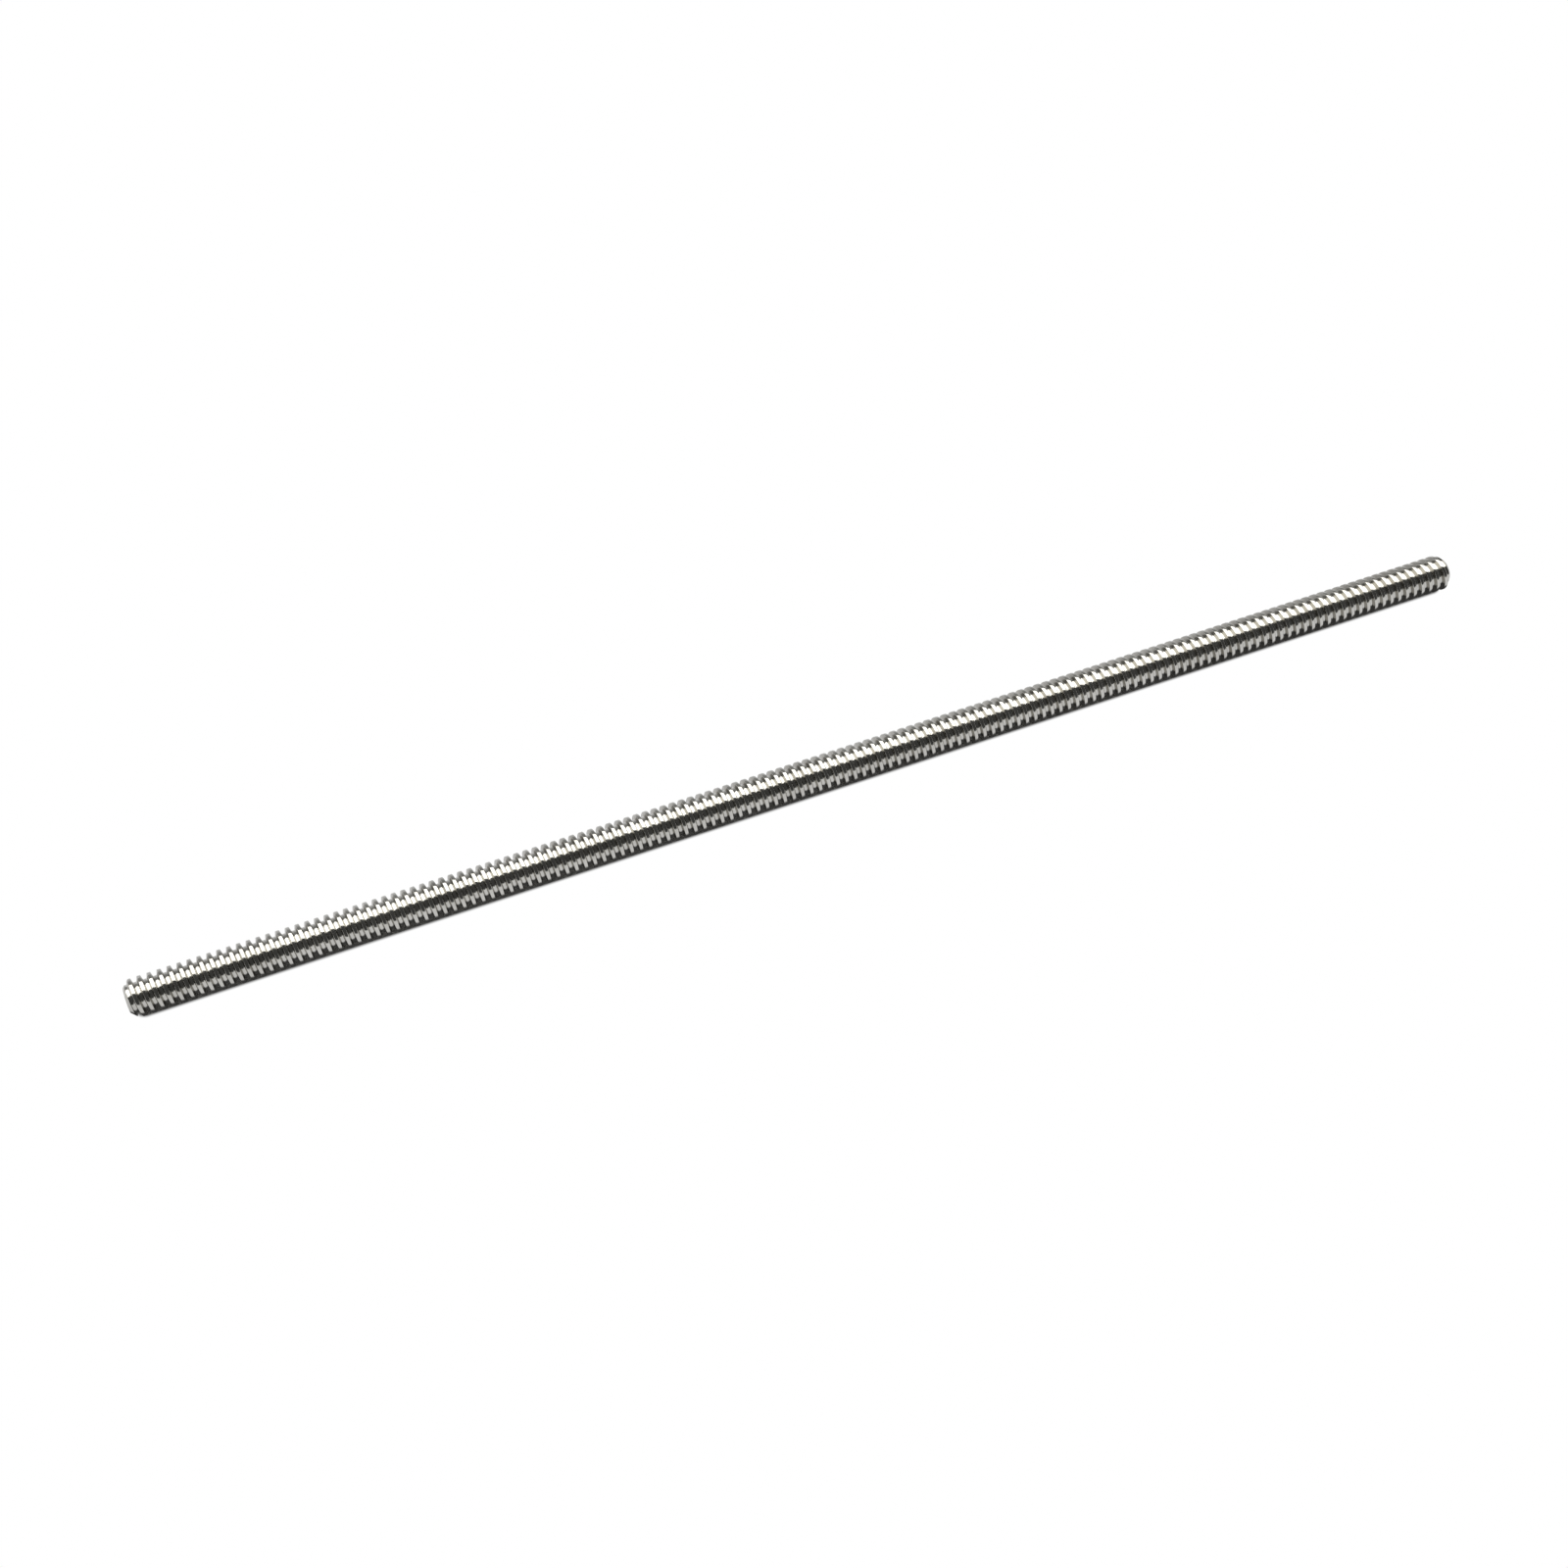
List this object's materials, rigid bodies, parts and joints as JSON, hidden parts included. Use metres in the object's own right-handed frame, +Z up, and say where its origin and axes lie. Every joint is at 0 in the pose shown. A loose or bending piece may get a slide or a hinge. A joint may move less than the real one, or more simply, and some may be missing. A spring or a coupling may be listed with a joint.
{
  "type": "trapezoidal lead screw",
  "caption": "Slim steel rod with a right-hand trapezoidal thread along its whole length and a chamfer at each end, turned to drive a nut along its axis.",
  "frame": {"origin": "centre of the drive end's face, on the rod's axis", "axes": "+X along the rod's axis, from the drive end to the far end; +Z up as the rod lies on a table"},
  "size_m": [0.3, 0.008, 0.008],
  "materials": {
    "steel": "bright rolled stainless steel, lightly polished"
  },
  "bodies": {
    "root": {"lead_screw": "steel"}
  },
  "joints": []
}
